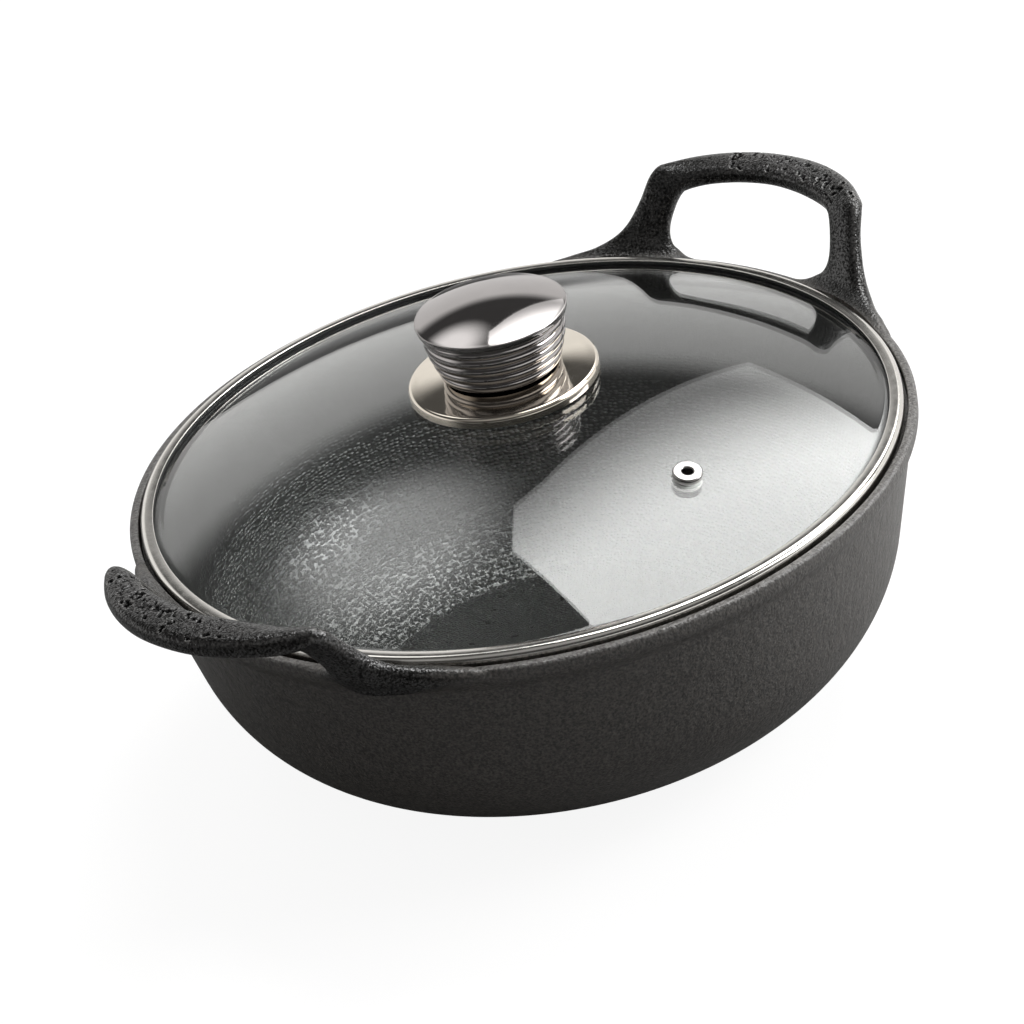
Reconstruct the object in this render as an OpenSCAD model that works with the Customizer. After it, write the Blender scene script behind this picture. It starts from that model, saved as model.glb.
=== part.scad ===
// A round cast-iron wok with two loop handles and a domed glass lid.
// +Z is up. The origin is the centre of the flat base, and the handles lie along X.

/* [Casting] */
// Outside diameter over the lip of the rim
rim_d = 289; // [250:1:330]
// Height of the rim above the base
body_h = 106; // [96:1:125]
// Diameter of the flat that the wok stands on
base_d = 140; // [124:1:156]
// Lean of the straight side wall from upright, in degrees
wall_tilt = 12.6; // [10:0.1:15]
// Height at which the straight side wall turns into the shoulder
shoulder_h = 56.7; // [50:0.1:62]
// Radius of the shoulder curve
shoulder_r = 62; // [56:1:68]
// Turn of the shoulder curve, as a share of the turn from the wall to the line to the base's edge
shoulder_turn_share = 1.176; // [1.1:0.002:1.25]
// Thickness of the side wall
wall_t = 4; // [3:0.1:5]
// Thickness of the floor
floor_t = 5; // [3.5:0.1:7]

/* [Rim] */
// Height of the lip round the outside of the rim
lip_h = 5; // [3:0.1:8]
// How far the lip stands out from the side wall
lip_out = 1; // [0.5:0.1:2]
// Radius on the top edges of the rim
rim_round = 1.1; // [0.6:0.1:1.5]
// Thickness of the rim outside the lid seat
rim_t = 3.3; // [3:0.1:5]
// Depth of the lid seat below the rim
seat_depth = 4; // [3:0.1:6]
// Width of the flat ledge that carries the lid
seat_w = 6.4; // [5:0.1:8]

/* [Loop handles] */
// How far a loop reaches out from the rim
handle_reach = 36.5; // [32:0.5:42]
// How far the grip bar stands above the rim
handle_rise = 32; // [24:0.5:38]
// Width of a loop's two roots together, along the rim
handle_root_w = 162; // [150:1:180]
// Width of the finger gap
finger_gap_w = 76; // [70:1:84]
// Width of the grip bar, seen from above
grip_w = 16.5; // [14:0.5:19]
// Thickness of the grip bar
grip_t = 8.5; // [7:0.5:10]
// Thickness of a leg where it climbs
leg_t = 7; // [6:0.5:9]
// Depth of a root down the side wall
root_t = 9; // [7:0.5:14]

/* [Lid glass and band] */
// Clearance round the lid in its seat
lid_clear = 1.2; // [0.6:0.1:2]
// Height of the steel band
band_h = 7; // [6.6:0.1:9]
// Sheet thickness of the steel band
band_t = 0.6; // [0.4:0.05:0.8]
// Outer radius of the band's rolled corners
band_round = 2.2; // [1.5:0.1:3]
// Reach of the band's top and bottom lips over the glass
band_lip = 5; // [4:0.1:6]
// Thickness of the glass
glass_t = 4; // [3.5:0.1:4.5]
// Height of the glass crown above the top of the band
glass_rise = 26.1; // [18:0.1:34]
// Radius of the bend where the dome meets its flat edge
glass_bend_r = 7; // [4:0.5:12]
// Silicone between the edge of the glass and the band
seal_t = 0.9; // [0.5:0.1:1.5]

/* [Knob] */
// Diameter of the knob at the crisp edge of its cap
knob_d = 55.2; // [46:0.2:62]
// Diameter of the knob at its foot
knob_foot_d = 42; // [36:0.5:44]
// Height from the foot to the crisp edge of the cap
knob_h = 22; // [18:0.5:28]
// Crown of the cap above its crisp edge
cap_crown = 5; // [3:0.1:8]
// Height of the cap's plain side
cap_side_h = 2.6; // [2:0.1:4]
// Number of rounded steps down the side of the knob
step_count = 5; // [3:1:7]
// How far each rounded step stands out
step_bulge = 0.8; // [0.4:0.1:1.2]
// Sheet thickness of the knob's cap and shell
knob_sheet_t = 0.9; // [0.6:0.1:1.2]
// Diameter of the black core inside the knob
core_d = 30; // [24:0.5:33]

/* [Knob base plate] */
// Diameter of the polished base plate
plate_d = 69.6; // [60:0.2:76]
// Sheet thickness of the base plate
plate_t = 1; // [0.6:0.1:1.4]
// Height of the plate's hub above the crown of the glass
plate_hub_h = 5; // [4:0.1:7]
// Diameter of the plate's flat hub
plate_hub_d = 32; // [27:0.5:35]
// Drop from the hub to the plate's rolled edge
plate_drop = 2.4; // [1.5:0.1:3.5]
// Radius of the plate's rolled edge
plate_round = 1.6; // [1:0.1:2]
// Gap between the rolled edge and the glass
plate_clear = 0.5; // [0.3:0.1:1]
// Width of the silicone ring under the plate
plate_gasket_w = 5; // [3:0.5:7]

/* [Screw under the lid] */
// Diameter of the screw's shank
screw_d = 4.9; // [4:0.1:6]
// Length of the shank below the head
screw_len = 24; // [20:0.5:26]
// Diameter of the screw's head
screw_head_d = 9.5; // [8:0.1:11]
// Height of the screw's head
screw_head_h = 3; // [2.5:0.1:4]
// Width of the two crossed slots in the screw's head
screw_slot_w = 1.2; // [0.8:0.1:1.6]
// Length of the two crossed slots
screw_slot_len = 5.4; // [4:0.1:6.5]
// Depth of the two crossed slots
screw_slot_depth = 1.8; // [1:0.1:2.2]
// Diameter of the brass insert in the core
insert_d = 9; // [8:0.1:11]
// Length of the brass insert
insert_len = 14; // [10:0.5:16]
// Clearance between screw and insert, and round the screw in the plate
screw_clear = 0.05; // [0.02:0.01:0.1]
// Diameter of the hole in the glass for the screw
glass_hole_d = 8.5; // [7:0.1:9]
// Diameter of the steel washer under the glass
washer_d = 25; // [20:0.5:30]
// Thickness of the steel washer
washer_t = 1; // [0.8:0.1:1.5]
// Thickness of the silicone washer between steel and glass
pad_t = 1.2; // [1:0.1:2]

/* [Steam vent] */
// Distance of the vent from the lid's centre
vent_place_r = 91.6; // [60:0.1:100]
// Direction of the vent round the lid, in degrees
vent_turn = -99; // [-180:1:180]
// Diameter of the vent's flanges
vent_flange_d = 10.6; // [9.5:0.1:13]
// Height of the vent's rounded flanges
vent_flange_h = 1.4; // [1.2:0.1:2]
// Diameter of the steam hole
vent_bore_d = 3.8; // [3:0.1:4.4]
// Outside diameter of the vent's barrel
vent_barrel_d = 6.4; // [5.6:0.1:7]
// Diameter of the hole in the glass for the vent
vent_hole_d = 7.2; // [7.1:0.1:8]
// Thickness of the silicone rings above and below the glass
vent_ring_t = 0.8; // [0.5:0.1:1.2]

/* [Hidden] */
$fn = 96;

// Colours as they show on the object
iron = [0.13, 0.125, 0.12];
steel = [0.80, 0.80, 0.78];
clear_glass = [0.62, 0.66, 0.66, 0.45];
silicone = [0.10, 0.10, 0.10];
pale_silicone = [0.82, 0.82, 0.80];
phenolic = [0.08, 0.08, 0.08];
brass = [0.78, 0.62, 0.30];

// How far a cut runs past the piece that it cuts
overrun = 2;
// Steps in each arc of a turned outline
arc_steps = 10;
// Slim gap between a piece and one it only lies beside
slim = 0.05;
// Thickness of the lip, where the chamfer under the seat starts
ledge_t = 1.6;

// Radii of the casting
rim_r = rim_d / 2;
base_r = base_d / 2;
wall_top_r = rim_r - lip_out;
seat_r = rim_r - rim_t;
ledge_r = seat_r - seat_w;
seat_z = body_h - seat_depth;

// Heights and radii of the lid
lid_r = seat_r - lid_clear;
band_top_z = seat_z + band_h;
crown_z = band_top_z + glass_rise;
glass_r = lid_r - band_t - seal_t;
glass_edge_top_z = band_top_z - band_t - (band_h - 2 * band_t - glass_t) / 2;
glass_flat_r = lid_r - band_lip;

// The dome, the bend and the flat edge of the glass meet at a tangent
dome_drop = crown_z - glass_edge_top_z;
dome_turn = 2 * atan(dome_drop / glass_flat_r);
dome_r = glass_flat_r / sin(dome_turn) - glass_bend_r;
dome_centre_z = crown_z - dome_r;

// Heights in the knob, from the crown of the glass
knob_foot_z = plate_hub_h + slim;
cap_edge_z = knob_foot_z + knob_h;
cap_foot_z = cap_edge_z - cap_side_h;
plate_edge_top_z = plate_hub_h - plate_drop;
plate_r = plate_d / 2;
plate_edge_foot_z = dome_fall(plate_r) + plate_clear;
pad_top_z = dome_under(washer_d / 2);
washer_top_z = pad_top_z - pad_t;
head_top_z = washer_top_z - washer_t;

// Points along an arc from one angle to another, with angles from +X towards +Z
function arc(centre, r, from, to, steps = arc_steps) =
    [for (i = [0:steps]) centre + r * dir(from + (to - from) * i / steps)];
function dir(a) = [cos(a), sin(a)];

// Height of the dome's top and under surface at radius r, from the crown of the glass
function dome_fall(r) = sqrt(dome_r * dome_r - r * r) - dome_r;
function dome_under(r) = sqrt(pow(dome_r - glass_t, 2) - r * r) - dome_r;

// The bowl's outline is a straight wall, a shoulder arc and a belly arc that ends at the base.
// Each arc starts where the last one ends, at the same slope.
wall_foot = [wall_top_r - (body_h - shoulder_h) * tan(wall_tilt), shoulder_h];
base_line_tilt = atan((wall_foot.x - base_r) / shoulder_h);
shoulder_turn = wall_tilt + shoulder_turn_share * (base_line_tilt - wall_tilt);
shoulder_centre = wall_foot - shoulder_r * dir(-wall_tilt);
belly_start = shoulder_centre + shoulder_r * dir(-shoulder_turn);
base_edge = [base_r, 0];
belly_chord = base_edge - belly_start;
belly_r = -(belly_chord * belly_chord) / (2 * belly_chord * dir(-shoulder_turn));
belly_centre = belly_start - belly_r * dir(-shoulder_turn);
belly_turn = -atan2(base_edge.y - belly_centre.y, base_edge.x - belly_centre.x);
floor_turn = asin((belly_centre.y - floor_t) / (belly_r - wall_t));

// Radius of the straight wall's outside and inside at height z
function wall_r(z) = wall_top_r - (body_h - z) * tan(wall_tilt);
function inner_r(z) = wall_r(z) - wall_t / cos(wall_tilt);

// The bowl as if it were solid
module bowl_outside() {
    rotate_extrude() polygon(concat(
        [[0, 0]],
        arc(belly_centre, belly_r, -belly_turn, -shoulder_turn),
        arc(shoulder_centre, shoulder_r, -shoulder_turn, -wall_tilt),
        [[wall_r(body_h - 2 * lip_h), body_h - 2 * lip_h],
         [rim_r - rim_round / 2, body_h - lip_h],
         [rim_r, body_h - lip_h + rim_round]],
        arc([rim_r - rim_round, body_h - rim_round], rim_round, 0, 90, 4),
        [[0, body_h]]));
}

// The hollow of the bowl, with the ledge that the lid sits on
module bowl_inside() {
    ledge_foot_z = seat_z - ledge_t - (inner_r(seat_z) - ledge_r);
    rotate_extrude() polygon(concat(
        [[0, floor_t]],
        arc(belly_centre, belly_r - wall_t, -floor_turn, -shoulder_turn),
        arc(shoulder_centre, shoulder_r - wall_t, -shoulder_turn, -wall_tilt),
        [[inner_r(ledge_foot_z), ledge_foot_z],
         [ledge_r, seat_z - ledge_t],
         [ledge_r, seat_z],
         [seat_r, seat_z],
         [seat_r, body_h - rim_round / 2],
         [seat_r + rim_round / 2, body_h],
         [seat_r + rim_round / 2, body_h + overrun],
         [0, body_h + overrun]]));
}

// The loop's edges seen from above, from one root to the middle of the grip.
// Each pair is a share of the half width, then a share of the reach from the rim.
outer_edge_shares = [[1.16, -0.22], [1.03, -0.05], [0.915, 0], [0.79, 0.045], [0.69, 0.13],
    [0.63, 0.27], [0.60, 0.43], [0.55, 0.61], [0.465, 0.775], [0.335, 0.90], [0.175, 0.98], [0, 1]];
inner_edge_shares = [[0.40, -0.42], [0.64, -0.10], [0.84, 0.05], [0.95, 0.13], [0.995, 0.26],
    [0.975, 0.42], [0.925, 0.57], [0.85, 0.70], [0.725, 0.81], [0.535, 0.89], [0.275, 0.96], [0, 1]];
half_stations = len(outer_edge_shares);
// Steps between two stations of a loop, and points round its section
loop_steps = 3;
section_points = 20;
// Power of the rounded section, where 2 is an ellipse and 1 a straight-sided wedge
section_power = 2.8;
root_power = 1.7;
// Shares of the reach where the S-curve of a leg starts and ends
climb_start_share = -0.14;
climb_end_share = 0.56;
// Shares of the reach where the deep root ends, and where leg turns to grip
root_end_share = 0.30;
grip_start_share = 0.35;
grip_end_share = 0.75;
// How far a root's top lies under the rim where it starts
root_sink = 0.8;
// Part of a station on each side over which the loop's direction is taken
slope_span = 0.1;

function smooth(u) = let (c = max(0, min(1, u))) c * c * (3 - 2 * c);
function unit(v) = v / norm(v);

// A point of the loop's top face, y along the rim and out from the rim's edge
function loop_point(y, out) =
    let (climb = (out / handle_reach - climb_start_share) / (climb_end_share - climb_start_share))
    [sqrt(rim_r * rim_r - y * y) + out, y,
        body_h - root_sink + (handle_rise + root_sink) * smooth(climb)];

// Station k of an edge, where stations past the middle mirror those before it
function share_at(shares, k) =
    let (m = 2 * half_stations - 2, j = max(0, min(m, k)))
    j < half_stations ? shares[j] : [-shares[m - j][0], shares[m - j][1]];

// Smooth curve through the stations
function curve(shares, u) =
    let (k = floor(u), t = u - k, a = share_at(shares, k - 1), b = share_at(shares, k),
        c = share_at(shares, k + 1), d = share_at(shares, k + 2))
    b + (c - a) * t / 2 + (2 * a - 5 * b + 4 * c - d) * t * t / 2
        + (3 * b - a - 3 * c + d) * t * t * t / 2;

function outer_edge(u) = let (s = curve(outer_edge_shares, u))
    loop_point(s[0] * handle_root_w / 2, s[1] * handle_reach);
function inner_edge(u) = let (s = curve(inner_edge_shares, u))
    loop_point(s[0] * finger_gap_w / 2, s[1] * (handle_reach - grip_w));
function mid_line(u) = (outer_edge(u) + inner_edge(u)) / 2;

// How much of a root, and how much of the grip, there is at a place on the loop, from 0 to 1
function rootness(u) = 1 - smooth(curve(outer_edge_shares, u)[1] / root_end_share);
function gripness(u) =
    smooth((curve(outer_edge_shares, u)[1] - grip_start_share) / (grip_end_share - grip_start_share));

// One rounded section of the loop, hung below its top face; a root's underside is a wedge
function power_of(v, power) = sign(v) * pow(abs(v), 2 / power);
function section(u) =
    let (across = outer_edge(u) - inner_edge(u),
        along = mid_line(u + slope_span) - mid_line(u - slope_span),
        up = unit(cross(along, across)),
        plain_t = leg_t + (grip_t - leg_t) * gripness(u),
        depth = plain_t + (root_t - plain_t) * rootness(u),
        low_power = section_power + (root_power - section_power) * rootness(u),
        centre = mid_line(u) - up * plain_t / 2)
    [for (i = [0:section_points - 1])
        let (a = 360 * (i + 0.5) / section_points, power = a < 180 ? section_power : low_power,
            reach = a < 180 ? plain_t / 2 : depth - plain_t / 2)
        centre + across * power_of(cos(a), power) / 2 + up * reach * power_of(sin(a), power)];

// One loop handle, swept along its path as a closed skin
module loop_handle() {
    last = (2 * half_stations - 2) * loop_steps;
    n = section_points;
    rings = [for (k = [0:last]) section(k / loop_steps)];
    skin = [for (k = [0:last - 1], i = [0:n - 1], t = [0, 1])
        let (a = k * n + i, b = k * n + (i + 1) % n)
        t == 0 ? [a, a + n, b] : [b, a + n, b + n]];
    root_a = [for (i = [0:n - 1]) i];
    root_b = [for (i = [0:n - 1]) last * n + n - 1 - i];
    polyhedron([for (ring = rings, p = ring) p], concat(skin, [root_a, root_b]));
}

// The casting: bowl and both loop handles in one piece of iron
module wok_body() {
    color(iron) difference() {
        union() {
            bowl_outside();
            loop_handle();
            mirror([1, 0, 0]) loop_handle();
        }
        bowl_inside();
    }
}

// Outline of the glass, top then under surface, from the centre out and back
module glass_outline() {
    bend_top = [glass_flat_r, glass_edge_top_z + glass_bend_r];
    polygon(concat(
        arc([0, dome_centre_z], dome_r, 90, 90 - dome_turn, 3 * arc_steps),
        arc(bend_top, glass_bend_r, -90 - dome_turn, -90, 4),
        [[glass_r, glass_edge_top_z], [glass_r, glass_edge_top_z - glass_t]],
        arc(bend_top, glass_bend_r + glass_t, -90, -90 - dome_turn, 4),
        arc([0, dome_centre_z], dome_r - glass_t, 90 - dome_turn, 90, 3 * arc_steps)));
}

// Puts a piece on the glass at the vent, with z = 0 on the glass and +Z straight out of it
module at_vent() {
    translate([0, 0, dome_centre_z]) rotate([0, asin(vent_place_r / dome_r), 0])
        translate([0, 0, dome_r]) children();
}

module lid_glass() {
    color(clear_glass) difference() {
        rotate_extrude() glass_outline();
        translate([0, 0, crown_z - glass_t - overrun])
            cylinder(d = glass_hole_d, h = glass_t + 2 * overrun);
        rotate([0, 0, vent_turn]) at_vent() translate([0, 0, -glass_t - overrun])
            cylinder(d = vent_hole_d, h = glass_t + 2 * overrun);
    }
}

// The steel band: a channel rolled over the edge of the glass
module lid_band() {
    r = band_round;
    q = band_round - band_t;
    lip_r = lid_r - band_lip;
    color(steel) rotate_extrude() polygon(concat(
        [[lip_r, seat_z]],
        arc([lid_r - r, seat_z + r], r, -90, 0, 6),
        arc([lid_r - r, band_top_z - r], r, 0, 90, 6),
        [[lip_r, band_top_z], [lip_r, band_top_z - band_t]],
        arc([lid_r - r, band_top_z - r], q, 90, 0, 6),
        arc([lid_r - r, seat_z + r], q, 0, -90, 6),
        [[lip_r, seat_z + band_t]]));
}

// Silicone bead that fills the band round the edge of the glass
module lid_band_seal() {
    q = band_round - band_t;
    color(silicone) rotate_extrude() difference() {
        polygon(concat(
            [[glass_flat_r, seat_z + band_t]],
            arc([lid_r - band_round, seat_z + band_round], q, -90, 0, 6),
            arc([lid_r - band_round, band_top_z - band_round], q, 0, 90, 6),
            [[glass_flat_r, band_top_z - band_t]]));
        translate([glass_flat_r - overrun, glass_edge_top_z - glass_t])
            square([glass_r - glass_flat_r + overrun, glass_t]);
    }
}

// The knob's cap: a domed disc with a crisp edge and a plain side
module knob_cap() {
    r = knob_d / 2;
    t = knob_sheet_t;
    crown_r = (r * r + cap_crown * cap_crown) / (2 * cap_crown);
    half_turn = asin(r / crown_r);
    color(steel) translate([0, 0, crown_z + cap_edge_z]) rotate_extrude() polygon(concat(
        arc([0, cap_crown - crown_r], crown_r, 90, 90 - half_turn, arc_steps),
        [[r - t / 2, -cap_side_h], [r - 1.5 * t, -cap_side_h], [r - 1.5 * t, -t]],
        arc([0, cap_crown - crown_r], crown_r - t, 90 - half_turn * (1 - 2 * t / r), 90, arc_steps)));
}

// Radius of the knob's plain cone at height z above its foot
knob_cone_top_r = knob_d / 2 - 1.5 * knob_sheet_t - slim - step_bulge;
function knob_cone_r(z) = knob_foot_d / 2
    + (knob_cone_top_r - knob_foot_d / 2) * sin(90 * z / (knob_h - cap_side_h));

// Outline of the stepped side, each step a rounded bulge on the cone
steps_h = knob_h - cap_side_h;
function stepped_side() =
    [for (i = [0:step_count - 1], j = [0:5])
        let (z = (i + j / 6) * steps_h / step_count)
        [knob_cone_r(z) + step_bulge * sin(180 * j / 6), z]];

// The knob's shell: a stepped cup that the cap closes
module knob_shell() {
    t = knob_sheet_t;
    foot_r = knob_foot_d / 2;
    core_r = core_d / 2 + slim;
    color(steel) translate([0, 0, crown_z + knob_foot_z]) rotate_extrude() polygon(concat(
        [[core_r, 0]],
        stepped_side(),
        [[knob_cone_top_r + step_bulge, steps_h],
         [knob_cone_top_r + step_bulge, knob_h - t - slim],
         [knob_cone_top_r + step_bulge - t, knob_h - t - slim],
         [knob_cone_top_r - t, steps_h]],
        [for (i = [step_count - 1:-1:1]) let (z = i * steps_h / step_count) [knob_cone_r(z) - t, z]],
        [[foot_r - t, t], [core_r, t]]));
}

// Black core that stands on the plate's hub and carries the brass insert
module knob_core() {
    cap_fall = cap_crown * pow(core_d / knob_d, 2);
    core_h = knob_h + cap_crown - cap_fall - knob_sheet_t - slim;
    color(phenolic) translate([0, 0, crown_z + plate_hub_h]) difference() {
        cylinder(d = core_d, h = core_h);
        translate([0, 0, -overrun]) cylinder(d = insert_d + 2 * slim, h = insert_len + overrun);
        translate([0, 0, insert_len - overrun]) cylinder(d = screw_d + 4 * screw_clear, h = 2 * overrun);
    }
}

module knob_insert() {
    color(brass) translate([0, 0, crown_z + plate_hub_h]) difference() {
        cylinder(d = insert_d, h = insert_len);
        translate([0, 0, -overrun]) cylinder(d = screw_d + 2 * screw_clear, h = insert_len + 2 * overrun);
    }
}

// The polished plate under the knob: flat hub, shallow cone and rolled edge
module knob_plate() {
    t = plate_t;
    r = plate_round;
    hub_r = plate_hub_d / 2;
    cone_r = plate_r - r;
    color(steel) translate([0, 0, crown_z]) rotate_extrude() polygon(concat(
        [[glass_hole_d / 2, plate_hub_h - t], [screw_d / 2 + 2 * screw_clear, plate_hub_h - t],
         [screw_d / 2 + 2 * screw_clear, plate_hub_h], [hub_r, plate_hub_h],
         [cone_r, plate_edge_top_z]],
        arc([cone_r, plate_edge_top_z - r], r, 75, 0, 6),
        [[plate_r, plate_edge_foot_z], [plate_r - t, plate_edge_foot_z]],
        arc([cone_r, plate_edge_top_z - r], r - t, 0, 75, 4),
        [[hub_r, plate_hub_h - t]]));
}

// Silicone ring that carries the plate on the glass
module plate_gasket() {
    out_r = plate_r - plate_round - plate_t;
    in_r = out_r - plate_gasket_w;
    hub_r = plate_hub_d / 2;
    function under_plate(r) = plate_hub_h - plate_t
        - plate_drop * (r - hub_r) / (plate_r - plate_round - hub_r);
    color(silicone) translate([0, 0, crown_z]) rotate_extrude() polygon([
        [in_r, dome_fall(in_r) + slim],
        [out_r, dome_fall(out_r) + slim],
        [out_r, under_plate(out_r) - slim],
        [in_r, under_plate(in_r) - slim]]);
}

// Silicone washer between the steel washer and the curved underside of the glass
module screw_pad() {
    in_r = screw_d / 2 + 2 * screw_clear;
    out_r = washer_d / 2;
    color(silicone) translate([0, 0, crown_z]) rotate_extrude() polygon(concat(
        [[in_r, washer_top_z], [out_r, washer_top_z]],
        [for (i = [arc_steps:-1:0]) let (r = in_r + (out_r - in_r) * i / arc_steps)
            [r, dome_under(r) - slim]]));
}

module screw_washer() {
    color(steel) translate([0, 0, crown_z + head_top_z]) difference() {
        cylinder(d = washer_d, h = washer_t);
        translate([0, 0, -overrun]) cylinder(d = screw_d + 4 * screw_clear, h = washer_t + 2 * overrun);
    }
}

// Pan-head screw that comes up through washer, glass and plate into the knob
module knob_screw() {
    head_r = screw_head_d / 2;
    color(steel) translate([0, 0, crown_z + head_top_z]) difference() {
        union() {
            cylinder(d = screw_d, h = screw_len);
            rotate_extrude() polygon(concat(
                [[0, -screw_head_h], [head_r - screw_head_h / 2, -screw_head_h]],
                arc([head_r - screw_head_h / 2, -screw_head_h / 2], screw_head_h / 2, -90, 0, 5),
                [[head_r, 0], [0, 0]]));
        }
        for (turn = [0, 90]) rotate([0, 0, turn])
            translate([-screw_slot_len / 2, -screw_slot_w / 2, -screw_head_h - overrun])
            cube([screw_slot_len, screw_slot_w, screw_slot_depth + overrun]);
    }
}

// Steel eyelet that lines the steam hole, with a rounded flange above and one spun out below
module vent_eyelet() {
    bore_r = vent_bore_d / 2;
    barrel_r = vent_barrel_d / 2;
    flange_r = vent_flange_d / 2;
    h = vent_flange_h;
    top = vent_ring_t + slim;
    foot = -glass_t - vent_ring_t - 2 * slim;
    color(steel) rotate([0, 0, vent_turn]) at_vent() rotate_extrude() polygon(concat(
        [[bore_r, foot - h + h / 4], [bore_r + h / 4, foot - h]],
        arc([flange_r - h / 2, foot - h / 2], h / 2, -90, 90, 8),
        [[barrel_r, foot], [barrel_r, top]],
        arc([flange_r - h / 2, top + h / 2], h / 2, -90, 90, 8),
        [[bore_r + h / 4, top + h], [bore_r, top + h - h / 4]]));
}

// A silicone ring that lies on one side of the glass, round the vent's barrel
module vent_ring(foot_z) {
    rotate([0, 0, vent_turn]) at_vent() translate([0, 0, foot_z]) difference() {
        cylinder(d = vent_flange_d, h = vent_ring_t);
        translate([0, 0, -overrun]) cylinder(d = vent_barrel_d + 2 * slim, h = vent_ring_t + 2 * overrun);
    }
}

module vent_gasket() {
    color(pale_silicone) vent_ring(slim);
}

module vent_lower_ring() {
    color(pale_silicone) vent_ring(-glass_t - vent_ring_t - slim);
}

wok_body();
lid_glass();
lid_band();
lid_band_seal();
knob_cap();
knob_shell();
knob_core();
knob_insert();
knob_plate();
plate_gasket();
screw_pad();
screw_washer();
knob_screw();
vent_eyelet();
vent_gasket();
vent_lower_ring();
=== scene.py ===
import math

import bmesh
import bpy
import numpy as np
from mathutils import Matrix, Vector
from mathutils.bvhtree import BVHTree


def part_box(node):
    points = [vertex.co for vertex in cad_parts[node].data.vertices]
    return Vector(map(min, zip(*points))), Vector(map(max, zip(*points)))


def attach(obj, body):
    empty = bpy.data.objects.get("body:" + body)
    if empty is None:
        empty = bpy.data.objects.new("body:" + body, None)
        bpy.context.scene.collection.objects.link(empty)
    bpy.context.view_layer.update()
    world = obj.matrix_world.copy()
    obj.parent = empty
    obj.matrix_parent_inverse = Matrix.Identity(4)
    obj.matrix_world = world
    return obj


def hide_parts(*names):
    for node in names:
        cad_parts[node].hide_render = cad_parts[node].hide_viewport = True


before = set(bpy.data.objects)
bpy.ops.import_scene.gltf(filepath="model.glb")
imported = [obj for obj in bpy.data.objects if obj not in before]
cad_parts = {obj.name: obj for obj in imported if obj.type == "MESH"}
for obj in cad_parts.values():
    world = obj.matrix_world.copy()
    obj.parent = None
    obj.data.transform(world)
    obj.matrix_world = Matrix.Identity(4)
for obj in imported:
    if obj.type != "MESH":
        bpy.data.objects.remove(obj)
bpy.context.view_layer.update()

# A cast-iron wok with two loop handles and a domed glass lid. Lengths are in metres and turns in
# degrees.
MM = 0.001

# Points round the lid's turned pieces and round the bowl
AROUND = 256
BOWL_AROUND = 192

# Sizes read from the frame
WOK_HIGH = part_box("wok_body")[1]
BAND_LOW, BAND_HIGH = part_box("lid_band")
GLASS_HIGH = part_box("lid_glass")[1]
CAP_LOW, CAP_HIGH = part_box("knob_cap")
SHELL_LOW, SHELL_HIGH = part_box("knob_shell")
PLATE_LOW, PLATE_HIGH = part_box("knob_plate")

# The casting
RIM_R = WOK_HIGH.y
SEAT_DEPTH = 4 * MM
BODY_H = BAND_LOW.z + SEAT_DEPTH
BASE_R = 70 * MM
BASE_EDGE_R = 1.5 * MM
WALL_TILT = 12.6
SHOULDER_H = 56.7 * MM
SHOULDER_R = 62 * MM
SHOULDER_TURN_SHARE = 1.176
WALL_T = 4 * MM
FLOOR_T = 5 * MM
LIP_H = 5 * MM
LIP_OUT = 1 * MM
RIM_ROUND = 1.1 * MM
RIM_T = 3.3 * MM
SEAT_W = 6.4 * MM
LEDGE_T = 1.6 * MM
SEAT_CORNER_R = 0.4 * MM
SEAT_R = RIM_R - RIM_T
LEDGE_R = SEAT_R - SEAT_W
WALL_TOP_R = RIM_R - LIP_OUT

# The loop handles
HANDLE_REACH = WOK_HIGH.x - RIM_R
HANDLE_RISE = 32 * MM
ROOT_W = 162 * MM
GAP_W = 76 * MM
GRIP_W = 16.5 * MM
GRIP_T = 8.5 * MM
LEG_T = 7 * MM
ROOT_T = 9 * MM
ROOT_SINK = 0.8 * MM

# The two edges of a loop from its root to the middle of its grip: the share of its width along
# the rim, and the share of its reach
OUTER_EDGE_SHARES = [(1.16, -0.22), (1.03, -0.05), (0.915, 0), (0.79, 0.045), (0.69, 0.13),
                     (0.63, 0.27), (0.60, 0.43), (0.55, 0.61), (0.465, 0.775), (0.335, 0.90),
                     (0.175, 0.98), (0, 1)]
INNER_EDGE_SHARES = [(0.40, -0.42), (0.64, -0.10), (0.84, 0.05), (0.95, 0.13), (0.995, 0.26),
                     (0.975, 0.42), (0.925, 0.57), (0.85, 0.70), (0.725, 0.81), (0.535, 0.89),
                     (0.275, 0.96), (0, 1)]

# How a loop's section is shaped and changes, with starts and ends as shares of the reach
SECTION_POWER = 2.8
ROOT_POWER = 1.7
CLIMB_START, CLIMB_END = -0.14, 0.56
ROOT_END = 0.30
GRIP_START, GRIP_END = 0.35, 0.75
SLOPE_SPAN = 0.1
LOOP_STATIONS = 340
GRIP_DENSITY = 1.6
GRIP_DENSE_SPAN = 0.2
TOP_POINTS, LOW_POINTS = 54, 24

# The soft fillets where the legs of the loops meet the rim
FILLET_TOP = 4 * MM
FILLET_UNDER = 20 * MM
FILLET_EDGE = 1.3 * MM
FILLET_HALF_W = 77 * MM
FILLET_END_FADE = 22 * MM
GAP_FADE = 10 * MM
SEAT_CLEAR, SEAT_FADE = 0.7 * MM, 1.6 * MM
UNDER_START, UNDER_SPAN = 0.15, 0.6
CORNER_START, CORNER_SPAN = 1.02, 0.55
JUNCTION_X = 80 * MM
JUNCTION_DROP, JUNCTION_HALF_H = 12 * MM, 30 * MM
MERGE_DISTANCE = 0.08 * MM
TRIM_SINK = 0.15 * MM
SIDE_SLACK = 0.5 * MM

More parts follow.
